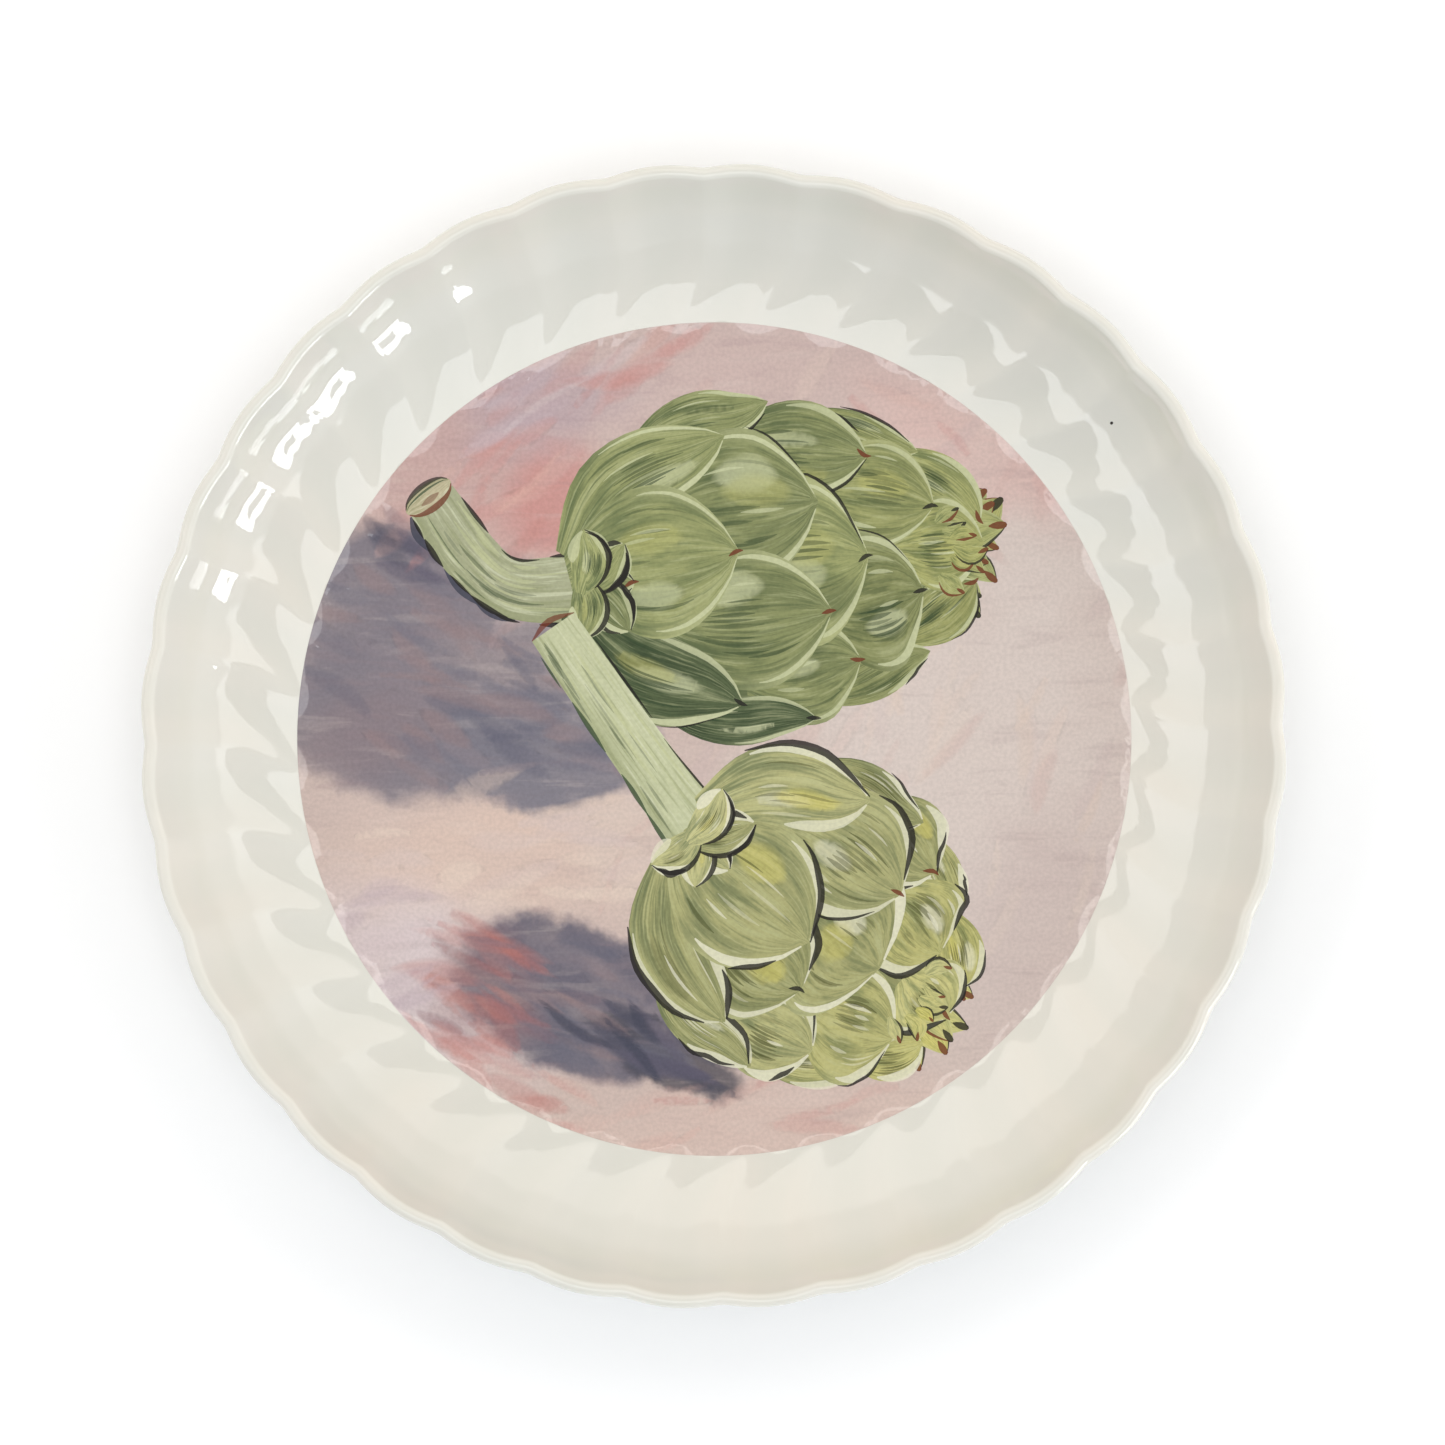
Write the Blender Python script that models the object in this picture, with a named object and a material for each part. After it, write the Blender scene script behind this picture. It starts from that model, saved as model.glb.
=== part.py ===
"""Fluted dessert plate: one fired piece of glazed porcelain with a turned foot ring.

Metres, +Z up. The origin is the centre of the foot's standing plane.
The body is turned from one profile, then its side is pressed into thirty-six flutes.
"""
import math

import bmesh
import bpy
from mathutils import Matrix, Vector

# Driving sizes of the plate
RIM_DIAMETER = 0.2032
HEIGHT = 0.0250
WELL_RADIUS = 0.0715
WELL_HEIGHT = 0.0066
LIP_THICKNESS = 0.0027
BASE_THICKNESS = 0.0041
WALL_LEAN = math.radians(64.0)

# Foot ring under the base
FOOT_OUTER_RADIUS = 0.0625
FOOT_INNER_RADIUS = 0.0565
FOOT_BEVEL = 0.0010
BASE_RECESS = 0.0021

# Flutes pressed into the side
FLUTE_COUNT = 36
FLUTE_DEPTH = 0.0008
FIRST_CREST = math.radians(6.0)
TOE_TWIST = math.radians(4.0)
TWIST_END = 0.55
FLUTE_START = 0.35
CUSP_SOFTNESS = 0.12

# Facets
STEPS_PER_FLUTE = 4
WALL_STEPS = 8
LIP_STEPS = 5

GLAZE_COLOR = (0.80, 0.78, 0.71, 1.0)
GLAZE_ROUGHNESS = 0.08
SMOOTH_ANGLE = math.radians(40.0)
WELD_DISTANCE = 0.00001


def clear_scene():
    for scene_object in list(bpy.data.objects):
        bpy.data.objects.remove(scene_object, do_unlink=True)


def smooth_step(value):
    value = min(max(value, 0.0), 1.0)
    return value * value * (3.0 - 2.0 * value)


def lip_centre():
    """The middle of the round lip, as (radius, height)."""
    half = LIP_THICKNESS / 2
    return Vector((RIM_DIAMETER / 2 - half, HEIGHT - half))


def outward(lean):
    """The direction out through a wall that leans by an angle from level."""
    return Vector((math.sin(lean), -math.cos(lean)))


def wall_arc():
    """The inner wall's elliptic arc: where it ends, and the arc's own sweep."""
    end = lip_centre() - outward(WALL_LEAN) * (LIP_THICKNESS / 2)
    run = end.x - WELL_RADIUS
    rise = end.y - WELL_HEIGHT
    sweep = math.acos(1.0 / (math.tan(WALL_LEAN) * run / rise - 1.0))
    return run, rise, sweep


def wall_point(part_way):
    """A point on the inner wall, and the wall's lean there; 0 is the well and 1 the lip."""
    run, rise, sweep = wall_arc()
    angle = sweep * part_way
    half_width = run / math.sin(sweep)
    half_height = rise / (1.0 - math.cos(sweep))
    point = Vector((WELL_RADIUS + half_width * math.sin(angle),
                    WELL_HEIGHT + half_height * (1.0 - math.cos(angle))))
    lean = math.atan2(half_height * math.sin(angle), half_width * math.cos(angle))
    return point, lean


def inner_side():
    """The well's centre, then the inner wall up to the lip."""
    points = [Vector((0.0, WELL_HEIGHT))]
    points += [wall_point(step / WALL_STEPS)[0] for step in range(WALL_STEPS + 1)]
    return points


def lip_side():
    """The round lip, from the inner wall over to the outer wall."""
    centre = lip_centre()
    start = math.pi / 2 + WALL_LEAN
    points = []
    for step in range(1, LIP_STEPS):
        angle = start - math.pi * step / LIP_STEPS
        points.append(centre + Vector((math.cos(angle), math.sin(angle))) * (LIP_THICKNESS / 2))
    return points


def outer_side():
    """The outer wall, a thickness outside the inner one, from the lip down to the base."""
    points = []
    for step in range(WALL_STEPS, -1, -1):
        part_way = step / WALL_STEPS
        point, lean = wall_point(part_way)
        thickness = BASE_THICKNESS + (LIP_THICKNESS - BASE_THICKNESS) * part_way
        points.append(point + outward(lean) * thickness)
    return points


def foot_side():
    """The foot ring and the recessed base inside it."""
    base_height = WELL_HEIGHT - BASE_THICKNESS
    return [Vector((FOOT_OUTER_RADIUS + FOOT_BEVEL, base_height)),
            Vector((FOOT_OUTER_RADIUS, FOOT_BEVEL)),
            Vector((FOOT_OUTER_RADIUS - FOOT_BEVEL, 0.0)),
            Vector((FOOT_INNER_RADIUS + FOOT_BEVEL, 0.0)),
            Vector((FOOT_INNER_RADIUS, FOOT_BEVEL)),
            Vector((FOOT_INNER_RADIUS - FOOT_BEVEL, BASE_RECESS)),
            Vector((0.0, BASE_RECESS))]


def turned_body():
    """The whole profile, spun once round the plate's axis."""
    body = bmesh.new()
    start = Matrix.Rotation(FIRST_CREST, 3, "Z")
    corners = [body.verts.new(start @ Vector((point.x, 0.0, point.y)))
               for point in inner_side() + lip_side() + outer_side() + foot_side()]
    edges = [body.edges.new(pair) for pair in zip(corners, corners[1:])]
    bmesh.ops.spin(body, geom=corners + edges, cent=(0, 0, 0), axis=(0, 0, 1),
                   angle=2 * math.pi, steps=FLUTE_COUNT * STEPS_PER_FLUTE, use_merge=True)
    bmesh.ops.remove_doubles(body, verts=body.verts[:], dist=WELD_DISTANCE)
    return body


def part_way_up(radius):
    """How far up the wall a radius lies, from 0 at the well to 1 at the rim."""
    return min(max((radius - WELL_RADIUS) / (RIM_DIAMETER / 2 - WELL_RADIUS), 0.0), 1.0)


def scallop(angle):
    """0 on a flute's crest, 1 on the soft cusp between two flutes."""
    wave = abs(math.cos(FLUTE_COUNT * (angle - FIRST_CREST) / 2))
    top = math.hypot(1.0, CUSP_SOFTNESS)
    return (top - math.hypot(wave, CUSP_SOFTNESS)) / (top - CUSP_SOFTNESS)


def press_flutes(body):
    """Move the side's points in where two flutes meet; the flutes lean at their toes."""
    for corner in body.verts:
        radius = math.hypot(corner.co.x, corner.co.y)
        part_way = part_way_up(radius)
        if part_way <= 0.0:
            continue
        angle = math.atan2(corner.co.y, corner.co.x)
        twist = TOE_TWIST * (1.0 - smooth_step(part_way / TWIST_END))
        depth = FLUTE_DEPTH * smooth_step(part_way / FLUTE_START) * scallop(angle - twist)
        aim = part_way * math.pi / 2
        radius -= depth * math.sin(aim)
        corner.co = Vector((radius * math.cos(angle), radius * math.sin(angle),
                            corner.co.z + depth * math.cos(aim)))


def glaze():
    material = bpy.data.materials.new("cream_glaze")
    material.use_nodes = True
    shader = material.node_tree.nodes["Principled BSDF"]
    shader.inputs["Base Color"].default_value = GLAZE_COLOR
    shader.inputs["Roughness"].default_value = GLAZE_ROUGHNESS
    shader.inputs["Metallic"].default_value = 0.0
    return material


def plate():
    body = turned_body()
    press_flutes(body)
    bmesh.ops.recalc_face_normals(body, faces=body.faces[:])
    mesh = bpy.data.meshes.new("plate")
    body.to_mesh(mesh)
    body.free()
    mesh.shade_smooth()
    mesh.set_sharp_from_angle(angle=SMOOTH_ANGLE)
    mesh.materials.append(glaze())
    bpy.context.scene.collection.objects.link(bpy.data.objects.new("plate", mesh))


clear_scene()
plate()
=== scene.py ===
# A fluted porcelain dessert plate with a round printed still life in its well.
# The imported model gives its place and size; everything here is in metres unless it says otherwise.
import math
import random

import bmesh
import bpy
import numpy as np
from mathutils import Matrix, Vector
from mathutils.bvhtree import BVHTree
from mathutils.geometry import delaunay_2d_cdt


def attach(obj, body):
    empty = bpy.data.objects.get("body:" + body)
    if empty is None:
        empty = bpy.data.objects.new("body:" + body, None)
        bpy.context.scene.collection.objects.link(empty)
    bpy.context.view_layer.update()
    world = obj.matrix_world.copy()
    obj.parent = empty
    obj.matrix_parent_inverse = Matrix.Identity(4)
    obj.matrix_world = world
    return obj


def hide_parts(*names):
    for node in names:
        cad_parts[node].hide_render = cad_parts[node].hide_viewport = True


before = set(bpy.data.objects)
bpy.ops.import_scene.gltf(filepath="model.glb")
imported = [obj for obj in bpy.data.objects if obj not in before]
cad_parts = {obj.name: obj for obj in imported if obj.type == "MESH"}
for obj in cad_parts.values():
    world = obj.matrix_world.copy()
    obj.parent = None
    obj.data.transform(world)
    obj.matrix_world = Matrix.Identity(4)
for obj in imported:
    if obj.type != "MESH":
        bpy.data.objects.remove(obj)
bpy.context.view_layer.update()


# ---------------------------------------------------------------------------------------------
# Camera: hangs over the plate, a little to its front and right, and looks down on it through a long
# lens, so that the whole rim shows with a margin of floor round it.

CAMERA_DISTANCE = 1.10
CAMERA_TILT_TO_FRONT = math.radians(2.5)
CAMERA_TILT_TO_RIGHT = math.radians(0.4)
PICTURE_WIDTH_AT_RIM = 0.2568
SENSOR_WIDTH = 36.0
AIM = Vector((0.0016, 0.0022, 0.0200))

camera_data = bpy.data.cameras.new("camera")
camera_data.sensor_width = SENSOR_WIDTH
camera_data.lens = SENSOR_WIDTH * CAMERA_DISTANCE / PICTURE_WIDTH_AT_RIM
camera = bpy.data.objects.new("camera", camera_data)
view_line = Vector((math.tan(CAMERA_TILT_TO_RIGHT), -math.tan(CAMERA_TILT_TO_FRONT), 1.0)).normalized()
camera.location = AIM + view_line * CAMERA_DISTANCE
to_right = Vector((0, 1, 0)).cross(view_line).normalized()
camera.rotation_euler = Matrix((to_right, view_line.cross(to_right), view_line)).transposed().to_euler()
bpy.context.scene.collection.objects.link(camera)
bpy.context.scene.camera = camera


# ---------------------------------------------------------------------------------------------
# Floor: a plain sheet of matt white card, with the faint mottle of its pulp. It is wide enough that
# its far edge doesn't show from low down.

FLOOR_SIZE = 20.0
FLOOR_WHITE = (0.925, 0.93, 0.945, 1.0)
FLOOR_SHADE = (0.90, 0.905, 0.925, 1.0)
FLOOR_MOTTLE_SCALE = 7.0
CARD_ROUGHNESS = 0.9
CARD_SPECULAR = 0.1


def new_material(name):
    """An empty material: its node tree and its Principled shader."""
    material = bpy.data.materials.new(name)
    material.use_nodes = True
    tree = material.node_tree
    shader = tree.nodes["Principled BSDF"]
    return material, tree, shader


def fill(tree, socket, value):
    """Give an input a link or a plain value."""
    if isinstance(value, bpy.types.NodeSocket):
        tree.links.new(value, socket)
    else:
        socket.default_value = value


def node(tree, kind, inputs=None, **settings):
    """A node with its settings, and its inputs linked or given a value."""
    made = tree.nodes.new(kind)
    for setting, value in settings.items():
        setattr(made, setting, value)
    for key, value in (inputs or {}).items():
        fill(tree, made.inputs[key], value)
    return made


def vector_math(tree, operation, first, second=None):
    """A Vector Math node on linked or plain values, and its result."""
    inputs = {0: first}
    if second is not None:
        inputs["Scale" if operation == "SCALE" else 1] = second
    made = node(tree, "ShaderNodeVectorMath", inputs, operation=operation)
    return made.outputs["Value" if operation in ("DOT_PRODUCT", "LENGTH") else "Vector"]


def noise_field(tree, place, scale, detail=2.0, offset=0.0):
    """A soft random field over the piece, at a number of blobs to the metre."""
    moved = vector_math(tree, "ADD", place, (offset, offset, offset))
    noise = node(tree, "ShaderNodeTexNoise", {"Vector": moved, "Scale": scale, "Detail": detail})
    return noise.outputs["Fac"]


def mixed(tree, factor, first, second):
    """A colour between two, by a factor; each is a colour or a link."""
    mix = node(tree, "ShaderNodeMix", {"Factor": factor}, data_type="RGBA")
    fill(tree, mix.inputs["A"], first)
    fill(tree, mix.inputs["B"], second)
    return mix.outputs["Result"]


def card_material():
    material, tree, shader = new_material("white_card")
    place = node(tree, "ShaderNodeTexCoord").outputs["Object"]
    mottle = noise_field(tree, place, FLOOR_MOTTLE_SCALE)
    tree.links.new(mixed(tree, mottle, FLOOR_WHITE, FLOOR_SHADE), shader.inputs["Base Color"])
    shader.inputs["Roughness"].default_value = CARD_ROUGHNESS
    shader.inputs["Specular IOR Level"].default_value = CARD_SPECULAR
    return material


bpy.ops.mesh.primitive_plane_add(size=FLOOR_SIZE)
floor = bpy.context.object
floor.name = "floor"
floor.data.materials.append(card_material())


# ---------------------------------------------------------------------------------------------
# Light: the soft white studio that the glaze mirrors. Its sky is brightest in front, its low walls at
# the right. Straight overhead, where the camera hangs, it is dark, with a lit ceiling round that and a
# dim patch in front. A small window with a dark pane stands low, at the front right.

OVERHEAD = Vector((-math.tan(CAMERA_TILT_TO_RIGHT), math.tan(CAMERA_TILT_TO_FRONT), 1.0)).normalized()
LIGHT_EDGE = 0.5
# The sky and the low walls under it: their bright side in degrees, then the glow away from and towards it
SKY_SIDE, SKY_GLOW = -85.0, (1.5, 2.9)
WALL_SIDE, WALL_GLOW = 20.0, (0.5, 1.0)
WALL_TOP = 24.0
# The sky is cooler towards its bright side
TINT_BRIGHT = (0.94, 0.975, 1.0, 1.0)
TINT_AWAY = (1.0, 0.96, 0.90, 1.0)
DARK_GLOW = 0.12
# Round patches of the sky, by azimuth, angle from upright and radius, all in degrees
CAMERA_RADIUS = 9.5
CEILING_AZIMUTH, CEILING_LEAN, CEILING_RADIUS = -90.0, 10.0, 25.0
CEILING_GLOW = 1.8
SHADE_AZIMUTH, SHADE_LEAN, SHADE_RADIUS = -70.0, 24.0, 50.0
SHADE_GLOW = 0.3
WINDOW_AZIMUTH, WINDOW_HEIGHT = -35.0, 8.5
WINDOW_SIZE = (13.0, 9.5)
WINDOW_PANE = (5.5, 3.0)
WINDOW_GLOW = 9.0
# The edges of the lights wander: waves to the view's unit sphere, and how far they reach
WAVE_SCALE, WAVE_REACH = 4.0, 0.22


def calc(tree, operation, *values):
    """A Math node on linked or plain values, and its result."""
    return node(tree, "ShaderNodeMath", dict(enumerate(values)), operation=operation).outputs[0]


def product(tree, *values):
    """Linked or plain values multiplied together."""
    total = values[0]
    for value in values[1:]:
        total = calc(tree, "MULTIPLY", total, value)
    return total


def ranged(tree, value, low, high, to_low=0.0, to_high=1.0):
    """A value's share of a range, eased and clamped."""
    return node(tree, "ShaderNodeMapRange",
                {"Value": value, "From Min": low, "From Max": high, "To Min": to_low, "To Max": to_high},
                interpolation_type="SMOOTHSTEP").outputs["Result"]


def split(tree, vector):
    """A vector's X, Y and Z."""
    return node(tree, "ShaderNodeSeparateXYZ", {"Vector": vector}).outputs


def beyond(tree, view, centre, radius):
    """1 further than an angle from a direction, and 0 nearer to it."""
    level = vector_math(tree, "DOT_PRODUCT", view, centre)
    angle = calc(tree, "DEGREES", calc(tree, "ARCCOSINE", level))
    return ranged(tree, angle, radius, radius + LIGHT_EDGE)


def direction(azimuth, lean):
    """The direction at an azimuth, leaning from upright by an angle, both in degrees."""
    leaning = Matrix.Rotation(math.radians(lean), 3, "Y") @ Vector((0, 0, 1))
    return Matrix.Rotation(math.radians(azimuth), 3, "Z") @ leaning


def panel_of_light(tree, view, azimuth, height, size):
    """1 inside a panel, whose place and half-size are angles in degrees, and 0 outside it."""
    for axis, angle in (("Z_AXIS", -azimuth), ("Y_AXIS", height)):
        view = node(tree, "ShaderNodeVectorRotate", {"Vector": view, "Angle": math.radians(angle)},
                    rotation_type=axis).outputs["Vector"]
    ahead = split(tree, view)
    aside = calc(tree, "ABSOLUTE", calc(tree, "DEGREES", calc(tree, "ARCTAN2", ahead["Y"], ahead["X"])))
    above = calc(tree, "ABSOLUTE", calc(tree, "DEGREES", calc(tree, "ARCSINE", ahead["Z"])))
    return product(tree, ranged(tree, aside, size[0], size[0] - LIGHT_EDGE),
                   ranged(tree, above, size[1], size[1] - LIGHT_EDGE))


def wandering(tree, view):
    """The view with a slow wave in it."""
    wave = node(tree, "ShaderNodeTexNoise", {"Vector": view, "Scale": WAVE_SCALE, "Detail": 2.0})
    wave = vector_math(tree, "SUBTRACT", wave.outputs["Color"], (0.5, 0.5, 0.5))
    moved = vector_math(tree, "ADD", view, vector_math(tree, "SCALE", wave, WAVE_REACH))
    return vector_math(tree, "NORMALIZE", moved)


def room():
    """The world's glow and tint, for each direction."""
    world = bpy.data.worlds.new("white_room")
    world.use_nodes = True
    tree = world.node_tree
    straight = node(tree, "ShaderNodeTexCoord").outputs["Generated"]
    view = wandering(tree, straight)
    facing = vector_math(tree, "NORMALIZE", vector_math(tree, "MULTIPLY", view, (1.0, 1.0, 0.0)))

    def towards(azimuth, low, high):
        level = vector_math(tree, "DOT_PRODUCT", facing, direction(azimuth, 90.0))
        return ranged(tree, level, -0.9, 0.9, low, high)

    height = calc(tree, "DEGREES", calc(tree, "ARCSINE", split(tree, view)["Z"]))
    high = ranged(tree, height, WALL_TOP, WALL_TOP + 4 * LIGHT_EDGE)
    low = calc(tree, "SUBTRACT", 1.0, high)
    off_camera = beyond(tree, straight, OVERHEAD, CAMERA_RADIUS)
    lit = beyond(tree, view, direction(SHADE_AZIMUTH, SHADE_LEAN), SHADE_RADIUS)
    past_ceiling = beyond(tree, view, direction(CEILING_AZIMUTH, CEILING_LEAN), CEILING_RADIUS)

    sky = product(tree, towards(SKY_SIDE, *SKY_GLOW), lit, high)
    wall = product(tree, towards(WALL_SIDE, *WALL_GLOW), low)
    shade = product(tree, calc(tree, "SUBTRACT", 1.0, lit), high, off_camera)
    ceiling = product(tree, calc(tree, "SUBTRACT", 1.0, past_ceiling), off_camera)
    window, pane = (panel_of_light(tree, view, WINDOW_AZIMUTH, WINDOW_HEIGHT, size)
                    for size in (WINDOW_SIZE, WINDOW_PANE))
    glow = calc(tree, "ADD", calc(tree, "ADD", DARK_GLOW, sky), wall)
    for light, strength in ((shade, SHADE_GLOW), (ceiling, CEILING_GLOW),
                            (calc(tree, "SUBTRACT", window, pane), WINDOW_GLOW)):
        glow = calc(tree, "MULTIPLY_ADD", light, strength, glow)
    background = tree.nodes["Background"].inputs
    tree.links.new(glow, background["Strength"])
    tree.links.new(mixed(tree, towards(SKY_SIDE, 0.0, 1.0), TINT_AWAY, TINT_BRIGHT), background["Color"])
    return world


bpy.context.scene.world = room()
bpy.context.scene.view_settings.view_transform = "Standard"


# ---------------------------------------------------------------------------------------------
# Plate: one fired piece of porcelain under a cream glaze. A jigger turns its profile, and the mould
# presses thirty-six flutes into the side, leaning at their toes. It stands on a foot ring that is
# wiped bare of glaze before firing.

RIM_DIAMETER = 0.2032
PLATE_HEIGHT = 0.0250
WELL_RADIUS = 0.0715
WELL_HEIGHT = 0.0066
LIP_THICKNESS = 0.0027
BASE_THICKNESS = 0.0041
WALL_LEAN = math.radians(64.0)
FOOT_OUTER_RADIUS = 0.0625
FOOT_INNER_RADIUS = 0.0565
FOOT_BEVEL = 0.0010
BASE_RECESS = 0.0021
FLUTE_COUNT = 36
FLUTE_DEPTH = 0.0008
FIRST_CREST = math.radians(6.0)
TOE_TWIST = math.radians(4.0)
# Shares of the way up the side: where the twist ends, and where the flutes reach their full depth
TWIST_END = 0.55
FLUTE_START = 0.35
CUSP_SOFTNESS = 0.12
WOBBLE = 0.00010
HAND_SCALE = 55.0
STEPS_PER_FLUTE = 20
WELD_DISTANCE = 0.000002
BARE_HEIGHT = FOOT_BEVEL * 0.35

GLAZE_CREAM = (0.665, 0.655, 0.605, 1.0)
GLAZE_POOLED = (0.63, 0.625, 0.57, 1.0)
GLAZE_WARM = (0.68, 0.65, 0.59, 1.0)
IRON_BROWN = (0.03, 0.022, 0.018, 1.0)
BARE_BODY = (0.74, 0.70, 0.63, 1.0)
KILN_DIRT = (0.42, 0.38, 0.32, 1.0)
DARK_GRIT = (0.35, 0.30, 0.24, 1.0)
GLAZE_IOR = 1.60
WALL_WAVINESS = 0.30
RIPPLE_HEIGHT = 0.0003
POLISH = (0.010, 0.024)
# Patterns, by the number of their blobs or cells to the metre
RIPPLE_SCALE = 130.0
POLISH_SCALE = 160.0
CLOUD_SCALE = 22.0
GRIT_SCALE = 2600.0
DIRT_SCALE = 90.0
SPECK_CELLS = 42.0
# A speck's faded edge in cells, and the share of the cells that have none
SPECK_EDGE = (0.013, 0.010)
CELLS_WITHOUT = 0.89


def outward(lean):
    """The direction out through a wall that leans by an angle from level, as (radius, height)."""
    return Vector((math.sin(lean), -math.cos(lean)))


def lip_centre():
    half = LIP_THICKNESS / 2
    return Vector((RIM_DIAMETER / 2 - half, PLATE_HEIGHT - half))


def wall_point(part_way):
    """A point on the inner wall, and the wall's lean there; 0 is the well and 1 the lip."""
    end = lip_centre() - outward(WALL_LEAN) * (LIP_THICKNESS / 2)
    run = end.x - WELL_RADIUS
    rise = end.y - WELL_HEIGHT
    sweep = math.acos(1.0 / (math.tan(WALL_LEAN) * run / rise - 1.0))
    angle = sweep * part_way
    half_width = run / math.sin(sweep)
    half_height = rise / (1.0 - math.cos(sweep))
    point = Vector((WELL_RADIUS + half_width * math.sin(angle),
                    WELL_HEIGHT + half_height * (1.0 - math.cos(angle))))
    lean = math.atan2(half_height * math.sin(angle), half_width * math.cos(angle))
    return point, lean


def arc(centre, size, start, end, steps):
    """Points on an arc, its two ends among them."""
    turns = [start + (end - start) * step / steps for step in range(steps + 1)]
    return [centre + Vector((math.cos(turn), math.sin(turn))) * size for turn in turns]


def plate_profile():
    """The turned profile, from the middle of the well over the lip to the middle of the base."""
    wall_steps = 44
    lip_steps = 18
    well = [Vector((WELL_RADIUS * share, WELL_HEIGHT)) for share in (0, 0.3, 0.6, 0.8, 0.9, 0.96)]
    inner = [wall_point(step / wall_steps)[0] for step in range(wall_steps)]
    lip = arc(lip_centre(), LIP_THICKNESS / 2, WALL_LEAN + math.pi / 2, WALL_LEAN - math.pi / 2,
              lip_steps)
    outer = []
    for step in range(wall_steps - 1, -1, -2):
        part_way = step / wall_steps
        point, lean = wall_point(part_way)
        thickness = BASE_THICKNESS + (LIP_THICKNESS - BASE_THICKNESS) * part_way
        outer.append(point + outward(lean) * thickness)
    base_height = WELL_HEIGHT - BASE_THICKNESS
    bevel = FOOT_BEVEL
    foot = [Vector((FOOT_OUTER_RADIUS + 2.2 * bevel, base_height))]
    foot += arc(Vector((FOOT_OUTER_RADIUS + bevel, base_height - bevel)), bevel, math.pi / 2, math.pi, 5)
    foot += arc(Vector((FOOT_OUTER_RADIUS - bevel, bevel)), bevel, 0.0, -math.pi / 2, 6)
    foot += arc(Vector((FOOT_INNER_RADIUS + bevel, bevel)), bevel, -math.pi / 2, -math.pi, 6)
    foot += arc(Vector((FOOT_INNER_RADIUS - bevel, BASE_RECESS - bevel)), bevel, 0.0, math.pi / 2, 5)
    base = [Vector((FOOT_INNER_RADIUS * share, BASE_RECESS)) for share in (0.9, 0.7, 0.4, 0)]
    return well + inner + lip + outer + foot + base


def new_tree(name, inputs):
    """A geometry tree with named inputs, and the two ends that its nodes join."""
    tree = bpy.data.node_groups.new(name, "GeometryNodeTree")
    tree.interface.new_socket("Geometry", in_out="OUTPUT", socket_type="NodeSocketGeometry")
    tree.interface.new_socket("Geometry", in_out="INPUT", socket_type="NodeSocketGeometry")
    for label, kind in inputs:
        tree.interface.new_socket(label, in_out="INPUT", socket_type=kind)
    entry = tree.nodes.new("NodeGroupInput").outputs
    finish = tree.nodes.new("NodeGroupOutput").inputs
    return tree, entry, finish


def grown(carrier, tree, values):
    """Run a tree on an object, and keep its result as a plain mesh with no modifier."""
    modifier = carrier.modifiers.new("grow", "NODES")
    modifier.node_group = tree
    for item in tree.interface.items_tree:
        if item.in_out == "INPUT" and item.name in values:
            modifier[item.identifier] = values[item.name]
    bpy.context.view_layer.update()
    evaluated = carrier.evaluated_get(bpy.context.evaluated_depsgraph_get())
    mesh = bpy.data.meshes.new_from_object(evaluated)
    carrier.modifiers.remove(modifier)
    carrier.data = mesh
    return carrier


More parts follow.
